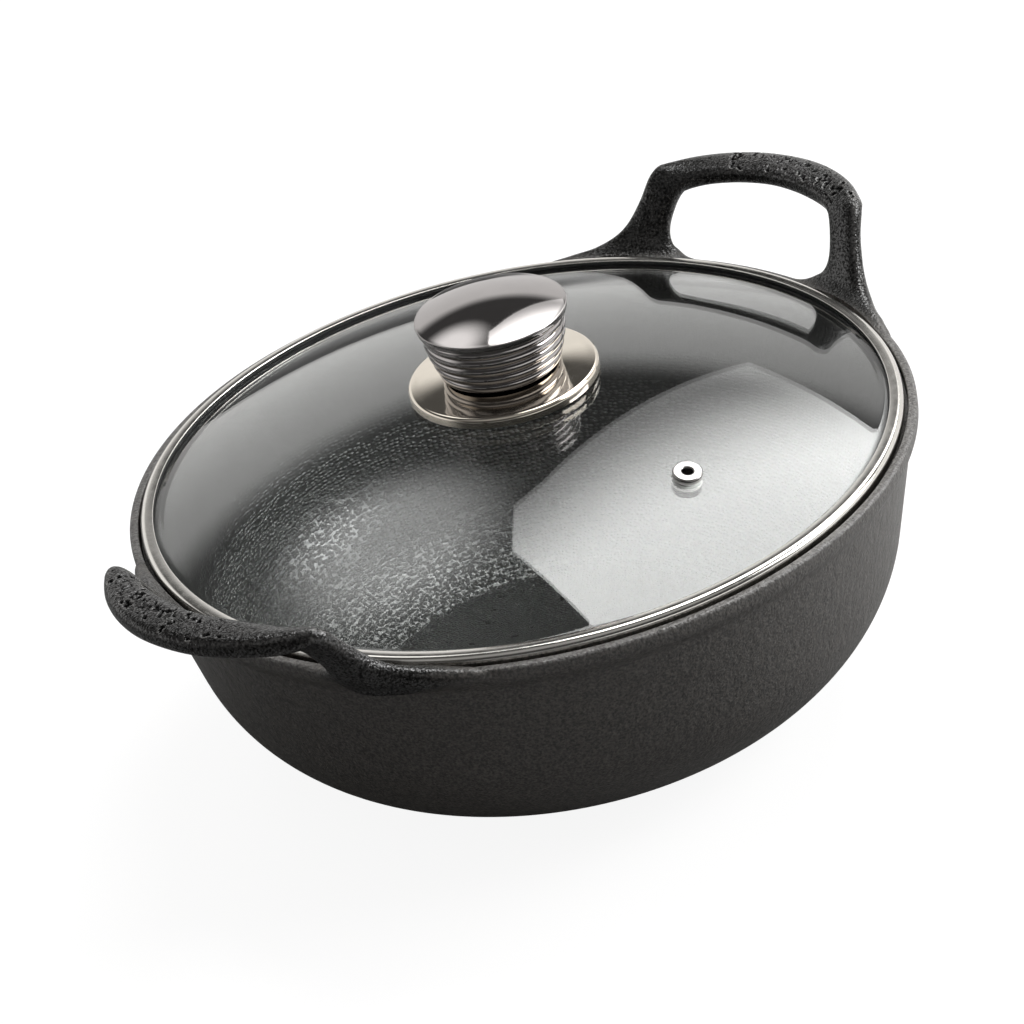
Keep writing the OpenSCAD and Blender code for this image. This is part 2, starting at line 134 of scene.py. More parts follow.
# Casting pits in the grips: how many, their smallest and largest radius and their depth in
# millimetres, the stretches along y that have them, and the stations that a pit can reach
PITS = ((56, 0.6, 1.15, 0.8), (130, 0.3, 0.55, 0.4))
RIGHT_PITS = (-0.05, 0.02)
LEFT_PITS = (-0.02, 0.05)
PIT_STATIONS = 16

# What the iron's colour follows: bulges per metre at which an edge starts to look worn, with a
# painted highlight, and is fully so, the height over which pits are looked for, the depth at
# which a pit is painted black as shade, and the radius at which the floor's pebbles are round
WEAR_AND_HIGHLIGHT_START, WEAR_AND_HIGHLIGHT_FULL = 120, 440
PITTED_Z = BODY_H + 12 * MM
BLACK_PIT = 0.5 * MM
PEBBLE_RING_R = 90 * MM / 1.3

# The lid
LID_R = BAND_HIGH.x
BAND_T = 0.6 * MM
BAND_ROUND = 2.2 * MM
BAND_LIP = 5 * MM
GLASS_T = 4 * MM
GLASS_BEND_R = 7 * MM
GLASS_R = GLASS_HIGH.x
GLASS_EDGE_Z = (BAND_LOW.z + BAND_HIGH.z) / 2 + GLASS_T / 2
GLASS_FLAT_R = LID_R - BAND_LIP
GLASS_HOLE_R = 4.25 * MM

# The steam vent
VENT_PLACE_R = 91.6 * MM
VENT_TURN = -99
VENT_FLANGE_R = 5.3 * MM
VENT_FLANGE_H = 1.4 * MM
VENT_BORE_R = 1.9 * MM
VENT_BARREL_R = 3.2 * MM
VENT_HOLE_R = 3.6 * MM
VENT_RING_T = 0.8 * MM
SLIM = 0.05 * MM

# The knob
KNOB_SHEET = 0.9 * MM
CAP_SIDE_H = 2.6 * MM
CAP_CROWN = 5 * MM
STEP_COUNT = 5
STEP_BULGE = 0.8 * MM
CORE_R = 15 * MM
PLATE_T = 1 * MM
PLATE_HUB_R = 16 * MM
PLATE_DROP = 2.4 * MM
PLATE_ROUND = 1.6 * MM

# The light, and the directions toward the photograph's side and toward its right
LIGHT_TARGET = Vector((0, 0, 0.11))
CARD_DISTANCE = 1.3
WARM_WHITE = (1.0, 0.99, 0.975, 1)
NEAR_WAY = (-0.70, -0.71, 0)
RIGHT_WAY = (0.71, -0.70, 0)

# The camera, fitted to the photograph: turn from -Y, elevation and roll, and its lens in
# millimetres
CAMERA_TURNS = (-44.76, 30.33, 12.16)
CAMERA_DISTANCE = 1.200
CAMERA_RIGHT, CAMERA_UP = -1.9 * MM, -26.6 * MM
CAMERA_LENS = 116.5


def smooth(u):
    """Smooth step from 0 to 1."""
    c = np.clip(u, 0, 1)
    return c * c * (3 - 2 * c)


def arc(centre, radius, start, end, steps):
    """Points (r, z) along an arc, with angles in degrees from +r towards +z."""
    turns = np.radians(np.linspace(start, end, steps + 1))
    return [(centre[0] + radius * math.cos(a), centre[1] + radius * math.sin(a)) for a in turns]


def line(start, end, steps):
    """Points from start to end, without the start."""
    (r0, z0), (r1, z1) = start, end
    return [(r0 + (r1 - r0) * i / steps, z0 + (z1 - z0) * i / steps) for i in range(1, steps + 1)]


def new_object(name, data):
    """A new object in the scene."""
    made = bpy.data.objects.new(name, data)
    bpy.context.scene.collection.objects.link(made)
    return made


def add_mesh(name, verts, faces, sharp=40):
    """A new smooth-shaded mesh object."""
    mesh = bpy.data.meshes.new(name)
    mesh.from_pydata([tuple(v) for v in verts], [], faces)
    mesh.validate()
    piece = new_object(name, mesh)
    shade(piece, sharp)
    return piece


def shade(piece, sharp):
    """Smooth shading, with edges sharper than the angle kept crisp."""
    piece.data.shade_smooth()
    piece.data.set_sharp_from_angle(angle=math.radians(sharp))


def paint(piece, material):
    """Gives a piece one material."""
    piece.data.materials.clear()
    piece.data.materials.append(material)


def lathe(name, outline, around=AROUND, sharp=40, ring=False):
    """Turns an outline of (r, z) points round +Z. A ring's outline closes on itself."""
    turn_area = sum(a[0] * b[1] - b[0] * a[1] for a, b in zip(outline, outline[1:] + outline[:1]))
    if turn_area < 0:
        outline = outline[::-1]
    verts, rows = [], []
    turns = [2 * math.pi * k / around for k in range(around)]
    for r, z in outline:
        if r < 1e-9:
            rows.append([len(verts)] * around)
            verts.append((0, 0, z))
        else:
            rows.append(list(range(len(verts), len(verts) + around)))
            verts.extend((r * math.cos(a), r * math.sin(a), z) for a in turns)
    if ring:
        rows.append(rows[0])
    faces = []
    for low, high in zip(rows, rows[1:]):
        for k in range(around):
            n = (k + 1) % around
            corners = [low[k], low[n], high[n], high[k]]
            faces.append(list(dict.fromkeys(corners)))
    return add_mesh(name, verts, faces, sharp)


def boolean(target, cutter, operation):
    """Applies a boolean of two closed meshes and removes the cutter."""
    step = target.modifiers.new("step", "BOOLEAN")
    step.operation = operation
    step.solver = "MANIFOLD"
    step.object = cutter
    graph = bpy.context.evaluated_depsgraph_get()
    mesh = bpy.data.meshes.new_from_object(target.evaluated_get(graph))
    target.modifiers.clear()
    target.data = mesh
    bpy.data.objects.remove(cutter)


def place(piece, body, slot, material, *nodes):
    """Puts a finished piece on its CAD body, in place of the CAD nodes that it stands for."""
    paint(piece, material)
    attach(piece, body)
    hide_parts(*nodes)


def wall_r(z):
    """Outer radius of the plain wall at a height."""
    return WALL_TOP_R - (BODY_H - z) * math.tan(math.radians(WALL_TILT))


def inner_wall_r(z):
    """Inner radius of the plain wall at a height."""
    return wall_r(z) - WALL_T / math.cos(math.radians(WALL_TILT))


def down(turn):
    """The direction (r, z) at a turn below level."""
    return Vector((math.cos(math.radians(turn)), -math.sin(math.radians(turn))))


def bowl_arcs():
    """Centres, radii and turns of the shoulder and belly arcs."""
    foot = Vector((wall_r(SHOULDER_H), SHOULDER_H))
    line_tilt = math.degrees(math.atan((foot.x - BASE_R) / SHOULDER_H))
    turn = WALL_TILT + SHOULDER_TURN_SHARE * (line_tilt - WALL_TILT)
    shoulder_centre = foot - SHOULDER_R * down(WALL_TILT)
    belly_start = shoulder_centre + SHOULDER_R * down(turn)
    chord = Vector((BASE_R, 0)) - belly_start
    belly_r = -chord.dot(chord) / (2 * chord.dot(down(turn)))
    belly_centre = belly_start - belly_r * down(turn)
    base = Vector((BASE_R, 0)) - belly_centre
    belly_turn = math.degrees(math.atan2(-base.y, base.x))
    return shoulder_centre, turn, belly_centre, belly_r, belly_turn


def lip_outline():
    """The outside of the wall from the shoulder up over the soft lip to the rim's top edge."""
    swell_start, swell_end = BODY_H - 2.1 * LIP_H, BODY_H - 0.7 * LIP_H
    points = line((wall_r(SHOULDER_H), SHOULDER_H), (wall_r(swell_start), swell_start), 10)
    for z in np.linspace(swell_start, swell_end, 10)[1:]:
        share = float(smooth((z - swell_start) / (swell_end - swell_start)))
        points.append((wall_r(z) * (1 - share) + RIM_R * share, z))
    return points + arc((RIM_R - RIM_ROUND, BODY_H - RIM_ROUND), RIM_ROUND, 0, 90, 7)


def bowl_outside_outline(shoulder_centre, turn, belly_centre, belly_r, belly_turn):
    """The outside, from the middle of the base up to the rim's top edge."""
    base = [(BASE_R * k / 8, 0) for k in range(8)] + [(BASE_R - BASE_EDGE_R, 0)]
    belly = arc(belly_centre, belly_r, -belly_turn + 0.5, -turn, 22)
    shoulder = arc(shoulder_centre, SHOULDER_R, -turn, -WALL_TILT, 18)[1:]
    return base + belly + shoulder + lip_outline()


def bowl_inside_outline(shoulder_centre, turn, belly_centre, belly_r, belly_turn):
    """The rim's inner top edge, and the inside from the seat down to the middle of the floor."""
    round_in, corner = RIM_ROUND / 2, SEAT_CORNER_R
    ledge_foot_z = BAND_LOW.z - LEDGE_T - (inner_wall_r(BAND_LOW.z) - LEDGE_R)
    floor_turn = math.degrees(math.asin((belly_centre.y - FLOOR_T) / (belly_r - WALL_T)))
    top = arc((SEAT_R + round_in, BODY_H - round_in), round_in, 90, 180, 4)
    seat = arc((SEAT_R - corner, BAND_LOW.z + corner), corner, 0, -90, 4)
    nose = arc((LEDGE_R + corner, BAND_LOW.z - corner), corner, 90, 180, 4)
    wall_start = (inner_wall_r(ledge_foot_z), ledge_foot_z)
    wall = [(LEDGE_R, BAND_LOW.z - LEDGE_T), wall_start]
    wall += line(wall_start, (inner_wall_r(SHOULDER_H), SHOULDER_H), 10)
    shoulder = arc(shoulder_centre, SHOULDER_R - WALL_T, -WALL_TILT, -turn, 16)[1:]
    belly = arc(belly_centre, belly_r - WALL_T, -turn, -floor_turn, 18)[1:]
    floor_r = belly[-1][0]
    floor = [(floor_r * k / 12, FLOOR_T) for k in range(11, -1, -1)]
    return top, seat + nose + wall + shoulder + belly + floor


def make_bowl():
    """The bowl without its handles."""
    arcs = bowl_arcs()
    top, inside = bowl_inside_outline(*arcs)
    return lathe("wok_casting", bowl_outside_outline(*arcs) + top + inside, around=BOWL_AROUND)


def make_hollow():
    """The space inside the rim and bowl, grown a little into the wall, which trims the handles."""
    inside = np.array(bowl_inside_outline(*bowl_arcs())[1])
    along = np.gradient(inside, axis=0)
    into_wall = np.stack([-along[:, 1], along[:, 0]], axis=-1)
    into_wall /= np.maximum(np.linalg.norm(into_wall, axis=1), 1e-9)[:, None]
    grown = inside + into_wall * TRIM_SINK
    grown[-1, 0] = 0
    head_z = BODY_H + 3 * MM
    outline = [(0, head_z), (float(grown[0, 0]), head_z)] + [tuple(map(float, p)) for p in grown]
    return lathe("hollow", outline, around=BOWL_AROUND)


def share_curve(shares, u):
    """Smooth curve through an edge's stations, mirrored past the middle of the grip."""
    there = np.array(shares)
    back = there[-2::-1] * [-1, 1]
    whole = np.vstack([there, back])
    last = len(whole) - 1
    k = np.clip(np.floor(u).astype(int), 0, last)
    t = (u - k)[:, None]
    a, b, c, d = (whole[np.clip(k + j, 0, last)] for j in (-1, 0, 1, 2))
    square = (2 * a - 5 * b + 4 * c - d) * t ** 2 / 2
    return b + (c - a) * t / 2 + square + (3 * b - a - 3 * c + d) * t ** 3 / 2


def loop_points(y, out):
    """Points of a loop's top face at y along the rim and out from the rim's edge."""
    climb = (out / HANDLE_REACH - CLIMB_START) / (CLIMB_END - CLIMB_START)
    x = np.sqrt(RIM_R ** 2 - y ** 2) + out
    z = BODY_H - ROOT_SINK + (HANDLE_RISE + ROOT_SINK) * smooth(climb)
    return np.stack([x, y, z], axis=-1)


def outer_edge(u):
    """A loop's outer edge at stations u."""
    s = share_curve(OUTER_EDGE_SHARES, u)
    return loop_points(s[:, 0] * ROOT_W / 2, s[:, 1] * HANDLE_REACH)


def inner_edge(u):
    """The edge of its finger gap at stations u."""
    s = share_curve(INNER_EDGE_SHARES, u)
    return loop_points(s[:, 0] * GAP_W / 2, s[:, 1] * (HANDLE_REACH - GRIP_W))


def mid_line(u):
    """The line midway between the two edges."""
    return (outer_edge(u) + inner_edge(u)) / 2


def power_of(v, power):
    """A sine or cosine bent for a section that is squarer as its power grows."""
    return np.sign(v) * np.abs(v) ** (2 / power)


def loop_stations():
    """Places of the sections along a loop, closer together on the grip."""
    last = 2 * len(OUTER_EDGE_SHARES) - 2
    fine = np.linspace(0, last, 2000)
    steps = np.linalg.norm(np.diff(mid_line(fine), axis=0), axis=1)
    middle = (fine[1:] + fine[:-1]) / 2
    out_share = share_curve(OUTER_EDGE_SHARES, middle)[:, 1]
    density = 1 + GRIP_DENSITY * smooth((out_share - GRIP_START) / GRIP_DENSE_SPAN)
    travelled = np.concatenate([[0], np.cumsum(steps * density)])
    return np.interp(np.linspace(0, travelled[-1], LOOP_STATIONS), travelled, fine)


def section_turns():
    """Turns of a section's points, closer together on its top than below."""
    top = np.pi * (np.arange(TOP_POINTS) + 0.5) / TOP_POINTS
    low = np.pi + np.pi * (np.arange(LOW_POINTS) + 0.5) / LOW_POINTS
    return np.concatenate([top, low])


def loop_skin():
    """Rings of points down one loop handle, each point's share across its top face, and how much
    of a grip each ring is and its way up."""
    u = loop_stations()
    out_share = share_curve(OUTER_EDGE_SHARES, u)[:, 1]
    across = outer_edge(u) - inner_edge(u)
    along = mid_line(u + SLOPE_SPAN) - mid_line(u - SLOPE_SPAN)
    up = np.cross(along, across)
    up /= np.linalg.norm(up, axis=1)[:, None]
    gripness = smooth((out_share - GRIP_START) / (GRIP_END - GRIP_START))
    rootness = 1 - smooth(out_share / ROOT_END)
    plain_t = LEG_T + (GRIP_T - LEG_T) * gripness
    depth = plain_t + (ROOT_T - plain_t) * rootness
    low_power = SECTION_POWER + (ROOT_POWER - SECTION_POWER) * rootness
    centre = mid_line(u) - up * plain_t[:, None] / 2
    turns = section_turns()
    top = np.sin(turns) > 0
    power = np.where(top[None, :], SECTION_POWER, low_power[:, None])
    reach = np.where(top[None, :], plain_t[:, None] / 2, (depth - plain_t / 2)[:, None])
    side = power_of(np.cos(turns)[None, :], power)
    lift = reach * power_of(np.sin(turns)[None, :], power)
    points = centre[:, None] + across[:, None] * side[..., None] / 2 + up[:, None] * lift[..., None]
    below = 2
    return points, np.where(top[None, :], side, below), gripness, up


def ragged_distance(offset, radius, rng):
    """Distances from a pit's middle, as shares of its drawn-out and ragged outline."""
    stretch = rng.uniform(1.0, 2.0)
    turn = rng.uniform(0, math.pi)
    dx = offset[..., 0] * math.cos(turn) + offset[..., 1] * math.sin(turn)
    dy = -offset[..., 0] * math.sin(turn) + offset[..., 1] * math.cos(turn)
    angle = np.arctan2(dy, dx)
    ragged = 1 + 0.22 * np.sin(2 * angle + rng.uniform(0, 6)) \
        + 0.16 * np.sin(3 * angle + rng.uniform(0, 6)) + 0.1 * np.sin(5 * angle + turn)
    return np.sqrt((dx / stretch) ** 2 + dy ** 2 + offset[..., 2] ** 2) / (radius * ragged)


def pit_depths(points, side, gripness, middle, rng):
    """How deep the casting pits go at each point of a grip's top face."""
    depth = np.zeros(side.shape)
    y = points[..., 1].mean(axis=1)
    pitted = np.flatnonzero((gripness > 0.5) & (y > middle[0]) & (y < middle[1]))
    weight = smooth((0.93 - np.abs(side)) / 0.15)
    for count, small, large, sunk in PITS:
        for _ in range(count):
            k = int(rng.choice(pitted))
            across = np.clip(rng.normal(0.0, 0.40), -0.8, 0.8)
            j = int(np.argmin(np.abs(side[k] - across)))
            radius = rng.uniform(small, large) * MM
            near = slice(max(0, k - PIT_STATIONS), k + PIT_STATIONS + 1)
            distance = ragged_distance(points[near] - points[k, j], radius, rng)
            pit = sunk * MM * rng.uniform(0.7, 1.0) * (1 - smooth((distance - 0.45) / 0.6))
            depth[near] = np.maximum(depth[near], pit)
    return depth * weight


def make_loop(name, mirrored, middle=None, seed=0):
    """One loop handle as a closed skin, with pits in its top face between two places along y."""
    points, side, gripness, up = loop_skin()
    if middle is not None:
        rng = np.random.default_rng(seed)
        depth = pit_depths(points, side, gripness, middle, rng)
        points = points - up[:, None] * depth[..., None]
    if mirrored:
        points = points * [-1, 1, 1]
    rows, n = points.shape[:2]
    faces = [list(range(n))[::-1], [(rows - 1) * n + i for i in range(n)]]
    for k in range(rows - 1):
        for i in range(n):
            j = (i + 1) % n
            faces.append([k * n + i, k * n + j, k * n + n + j, k * n + n + i])
    if mirrored:
        faces = [face[::-1] for face in faces]
    return add_mesh(name, points.reshape(-1, 3), faces)


def surface_tree(piece):
    """A tree that finds the nearest point of a piece's surface."""
    mesh = piece.data
    return BVHTree.FromPolygons([v.co for v in mesh.vertices], [p.vertices for p in mesh.polygons])


def signed_distance(tree, point):
    """Distance to a closed surface, negative inside, and the direction that leads away from it."""
    nearest, normal, _, distance = tree.find_nearest(point)
    if distance < 0.01 * MM:
        return 0.0, normal
    away = (point - nearest) / distance
    return (distance, away) if away.dot(normal) > 0 else (-distance, -away)


def outside_rim(point):
    """0 at the seat and 1 from a little outside it, so that the seat keeps its form."""
    away = math.hypot(point.x, point.y) - SEAT_R
    return float(smooth((away - SEAT_CLEAR) / SEAT_FADE))


def blended(point, bowl_tree, loop_tree):
    """Distance to bowl and handle blended softly, the way out, and how strongly they blend."""
    a, away_a = signed_distance(bowl_tree, point)
    b, away_b = signed_distance(loop_tree, point)
    under = float(smooth((UNDER_START - away_b.z) / UNDER_SPAN))
    corner = float(smooth((CORNER_START - away_a.dot(away_b)) / CORNER_SPAN))
    ends = float(smooth((FILLET_HALF_W - abs(point.y)) / FILLET_END_FADE))
    beside_gap = float(smooth((abs(point.y) - GAP_W / 2 + GAP_FADE / 2) / GAP_FADE))
    size = (FILLET_TOP + (FILLET_UNDER - FILLET_TOP) * under * beside_gap) * corner * ends
    if min(a, b) < -SIDE_SLACK:
        return 0.0, away_a, 0.0
    if a > b:
        away_a, away_b = away_b, away_a
    share = max(size - abs(a - b), 0) / max(size, 1e-9)
    slope = away_a * (1 - share / 2) + away_b * (share / 2)
    return min(a, b) - share * share * size / 4, slope, share


def near_junction(p):
    """Whether a point lies in the boxes round the handles' roots, and outside the seat."""
    return abs(p.y) < FILLET_HALF_W and abs(p.x) > JUNCTION_X \
        and abs(p.z - BODY_H + JUNCTION_DROP) < JUNCTION_HALF_H and outside_rim(p) > 0


def junction_points(bm, bowl_tree, loop_trees):
    """Points of the casting that the soft blend moves, each with its handle's tree."""
    found = []
    for v in bm.verts:
        if near_junction(v.co):
            tree = loop_trees[v.co.x < 0]
            if blended(v.co, bowl_tree, tree)[2] > 0:
                found.append((v, tree))
    return found


def refine_junction(bm, bowl_tree, loop_trees):
    """Gives the junction small even triangles."""
    close = [v for v, _ in junction_points(bm, bowl_tree, loop_trees)]
    bmesh.ops.triangulate(bm, faces=list({f for v in close for f in v.link_faces}))
    bmesh.ops.remove_doubles(bm, verts=close, dist=MERGE_DISTANCE)
    for _ in range(4):
        close = {v for v, _ in junction_points(bm, bowl_tree, loop_trees)}
        long = [e for e in bm.edges
                if e.calc_length() > FILLET_EDGE and close.intersection(e.verts)]
        if not long:
            break
        bmesh.ops.subdivide_edges(bm, edges=long, cuts=1)
        bmesh.ops.triangulate(bm, faces=[f for f in bm.faces
                                         if len(f.verts) > 3 and close.intersection(f.verts)])


def soften_junction(bm, bowl_tree, loop_trees):
    """Moves the points near the roots onto one surface that blends bowl and handles softly."""
    refine_junction(bm, bowl_tree, loop_trees)
    close = junction_points(bm, bowl_tree, loop_trees)
    rounds = 7
    for turn in range(rounds):
        moving = []
        for v, tree in close:
            value, slope, share = blended(v.co, bowl_tree, tree)
            v.co -= slope * (outside_rim(v.co) * value / max(slope.length_squared, 0.25))
            if share > 0.02 and outside_rim(v.co) > 0.95:
                moving.append(v)
        for _ in range(1 if turn < rounds - 1 else 4):
            bmesh.ops.smooth_vert(bm, verts=moving, factor=0.5,
                                  use_axis_x=True, use_axis_y=True, use_axis_z=True)


def point_vectors(mesh, kind):
    """The places ("co") or the normals ("normal") of a mesh's points."""
    values = np.zeros(len(mesh.vertices) * 3)
    mesh.vertices.foreach_get(kind, values)
    return values.reshape(-1, 3)


def store(mesh, name, values):
    """Stores a number at each point of a mesh, for its material."""
    layer = mesh.attributes.new(name, "FLOAT", "POINT")
    layer.data.foreach_set("value", np.ascontiguousarray(values, dtype=np.float32))


def store_wear_and_highlight(mesh):
    """Stores how sharply points over the rim bulge out, for worn edges with a painted highlight."""
    count = len(mesh.vertices)
    places, normals = point_vectors(mesh, "co"), point_vectors(mesh, "normal")
    edges = np.zeros(len(mesh.edges) * 2, dtype=int)
    mesh.edges.foreach_get("vertices", edges)
    a, b = edges.reshape(-1, 2).T
    step = places[b] - places[a]
    length2 = np.maximum((step ** 2).sum(1), 1e-12)

    def summed(at_a=None, at_b=None):
        return np.bincount(a, at_a, count) + np.bincount(b, at_b, count)

    links = np.maximum(summed(), 1)
    bend_a = -(step * normals[a]).sum(1) / length2 * 2
    bend_b = (step * normals[b]).sum(1) / length2 * 2
    bend = summed(bend_a, bend_b) / links
    for _ in range(3):
        bend = (bend + summed(bend[b], bend[a]) / links) / 2
    above = smooth((places[:, 2] - BODY_H + 3 * MM) / (2 * MM))
    worn_and_highlit = np.clip((bend - WEAR_AND_HIGHLIGHT_START) / (WEAR_AND_HIGHLIGHT_FULL - WEAR_AND_HIGHLIGHT_START), 0, 1)
    store(mesh, "wear_and_highlight", worn_and_highlit * above)


def store_pit_shade(mesh, loop_trees):
    """Stores how deep each point lies under the handles' plain skin, for painted shade in pits."""
    deep = np.zeros(len(mesh.vertices))
    for v in mesh.vertices:
        if v.co.z > PITTED_Z:
            distance, _ = signed_distance(loop_trees[v.co.x < 0], v.co)
            deep[v.index] = min(max(-distance / BLACK_PIT, 0), 1)
    store(mesh, "pit", deep)


def store_handle_share(mesh):
    """Stores 1 on the handles and 0 on the bowl, with a soft change between them."""
    places = point_vectors(mesh, "co")
    out = np.hypot(places[:, 0], places[:, 1]) - RIM_R
    share = np.maximum(smooth(out / (5 * MM)), smooth((places[:, 2] - BODY_H) / (3 * MM)))
    store(mesh, "handle", share)


def store_inside_share(mesh):
    """Stores "inside" as 1 on the bowl's floor and less up its wall, and "inner" as 1 on both."""
    places, normals = point_vectors(mesh, "co"), point_vectors(mesh, "normal")
    outward = (normals * (places - [0, 0, BODY_H * 0.6])).sum(1) > 0
    fade = 1 - smooth((places[:, 2] - 34 * MM) / (40 * MM))
    store(mesh, "inside", np.where(outward, 0, fade))
    store(mesh, "inner", np.where(outward | (places[:, 2] > BODY_H - 1 * MM), 0, 1))


def make_casting(material):
    """Bowl and both loop handles as one skin, with soft fillets where they meet."""
    bowl = make_bowl()
    plain = [make_loop("plain_right", False), make_loop("plain_left", True)]
    loops = [make_loop("loop_right", False, RIGHT_PITS, seed=11),
             make_loop("loop_left", True, LEFT_PITS, seed=23)]
    bowl_tree = surface_tree(bowl)
    loop_trees = [surface_tree(loop) for loop in plain]
    for loop, twin in zip(loops, plain):
        boolean(loop, make_hollow(), "DIFFERENCE")
        boolean(bowl, loop, "UNION")
        bpy.data.objects.remove(twin)
    bm = bmesh.new()
    bm.from_mesh(bowl.data)
    soften_junction(bm, bowl_tree, loop_trees)
    bmesh.ops.triangulate(bm, faces=[f for f in bm.faces if len(f.verts) > 4])
    bm.to_mesh(bowl.data)
    bm.free()
    shade(bowl, 50)
    store_wear_and_highlight(bowl.data)
    store_handle_share(bowl.data)
    store_inside_share(bowl.data)
    store_pit_shade(bowl.data, loop_trees)
    place(bowl, "wok", "iron", material, "wok_body")


def dome():
    """Radius and centre height of the dome's outside, and the turn at which its bend starts."""
    drop = GLASS_HIGH.z - GLASS_EDGE_Z
    turn = 2 * math.atan(drop / GLASS_FLAT_R)
    radius = GLASS_FLAT_R / math.sin(turn) - GLASS_BEND_R
    return radius, GLASS_HIGH.z - radius, math.degrees(turn)


def at_vent(piece):
    """Moves a piece made round +Z at z = 0 to its place on the glass at the vent."""
    radius, centre_z, _ = dome()
    tilt = math.asin(VENT_PLACE_R / radius)
    turned = Matrix.Rotation(math.radians(VENT_TURN), 4, "Z")
    piece.data.transform(turned @ Matrix.Translation((0, 0, centre_z))
                         @ Matrix.Rotation(tilt, 4, "Y") @ Matrix.Translation((0, 0, radius)))
    return piece


def make_glass(material):
    """The domed glass, thick and closed, with its screw hole and vent hole."""
    radius, centre_z, turn = dome()
    hole_turn = math.degrees(math.asin(GLASS_HOLE_R / radius))
    bend = (GLASS_FLAT_R, GLASS_EDGE_Z + GLASS_BEND_R)
    edge_round = 0.7 * MM
    outline = arc((0, centre_z), radius, 90 - hole_turn, 90 - turn, 70)
    outline += arc(bend, GLASS_BEND_R, -90 - turn, -90, 8)
    outline += arc((GLASS_R - edge_round, GLASS_EDGE_Z - edge_round), edge_round, 90, 0, 4)
    foot = GLASS_EDGE_Z - GLASS_T
    outline += arc((GLASS_R - edge_round, foot + edge_round), edge_round, 0, -90, 4)
    outline += arc(bend, GLASS_BEND_R + GLASS_T, -90, -90 - turn, 8)
    inner_hole_turn = math.degrees(math.asin(GLASS_HOLE_R / (radius - GLASS_T)))
    outline += arc((0, centre_z), radius - GLASS_T, 90 - turn, 90 - inner_hole_turn, 70)
    glass = lathe("lid_dome", outline, ring=True)
    drill = lathe("drill", [(0, -GLASS_T * 2), (VENT_HOLE_R, -GLASS_T * 2),
                            (VENT_HOLE_R, GLASS_T), (0, GLASS_T)], around=64)
    boolean(glass, at_vent(drill), "DIFFERENCE")
    shade(glass, 40)
    place(glass, "lid", "lid_glass", material, "lid_glass")


def make_band(material):
    """The rolled steel channel round the glass."""
    r, q = BAND_ROUND, BAND_ROUND - BAND_T
    low, high = BAND_LOW.z, BAND_HIGH.z
    lip_r = LID_R - BAND_LIP
    hem = BAND_T / 2
    top, bottom = (LID_R - r, high - r), (LID_R - r, low + r)
    outline = arc(bottom, r, -90, 0, 10) + arc(top, r, 0, 90, 10)
    outline += arc((lip_r + hem, high - hem), hem, 90, 270, 6)
    outline += arc(top, q, 90, 0, 8) + arc(bottom, q, 0, -90, 8)
    outline += arc((lip_r + hem, low + hem), hem, 90, 270, 6)
    band = lathe("lid_band_ring", outline, ring=True)
    place(band, "lid", "band_steel", material, "lid_band")


def make_cap(material):
    """The knob's domed cap, with a crisp rolled edge over a plain side."""
    r, t = CAP_HIGH.x, KNOB_SHEET
    edge_z = CAP_HIGH.z - CAP_CROWN
    crown_r = (r * r + CAP_CROWN ** 2) / (2 * CAP_CROWN)
    turn = math.degrees(math.asin(r / crown_r))
    roll = 0.45 * MM
    outline = arc((0, CAP_HIGH.z - crown_r), crown_r, 90, 90 - turn * (1 - roll / r), 26)
    outline += arc((r - roll, edge_z - roll * 0.6), roll, 62, -25, 6)
    outline += [(r - t / 2, edge_z - 0.45 * CAP_SIDE_H), (r - 0.55 * t, CAP_LOW.z + 0.3 * MM)]
    outline += arc((r - t, CAP_LOW.z + t / 2), t / 2, 0, -180, 8)
    outline += [(r - 1.5 * t, edge_z - t)]
    inner_turn = turn * (1 - 2 * t / r)
    outline += arc((0, CAP_HIGH.z - crown_r), crown_r - t, 90 - inner_turn, 90, 20)
    place(lathe("knob_cap_dome", outline), "lid", "knob_steel", material, "knob_cap")


def make_shell(material):
    """The knob's tapered side, with rounded steps."""
    t = KNOB_SHEET
    foot_r = 21 * MM
    top_r = CAP_HIGH.x - 1.5 * t - SLIM - STEP_BULGE
    steps_top = CAP_LOW.z
    steps_h = steps_top - SHELL_LOW.z

    def cone_r(z):
        return foot_r + (top_r - foot_r) * math.sin(math.pi / 2 * (z - SHELL_LOW.z) / steps_h)

    fine = 12
    steps = []
    for i in range(STEP_COUNT * fine):
        z = SHELL_LOW.z + steps_h * i / (STEP_COUNT * fine)
        steps.append((cone_r(z) + STEP_BULGE * abs(math.sin(math.pi * i / fine)) ** 0.8, z))
    core_r = CORE_R + SLIM
    outline = [(core_r, SHELL_LOW.z)] + steps
    outline += [(top_r + STEP_BULGE, steps_top), (top_r + STEP_BULGE, SHELL_HIGH.z),
                (top_r + STEP_BULGE - t, SHELL_HIGH.z), (top_r - t, steps_top)]
    for i in range(STEP_COUNT - 1, 0, -1):
        z = SHELL_LOW.z + steps_h * i / STEP_COUNT
        outline.append((cone_r(z) - t, z))
    outline += [(foot_r - t, SHELL_LOW.z + t), (core_r, SHELL_LOW.z + t)]
    shell = lathe("knob_side", outline, ring=True, sharp=32)
    place(shell, "lid", "knob_steel", material, "knob_shell")


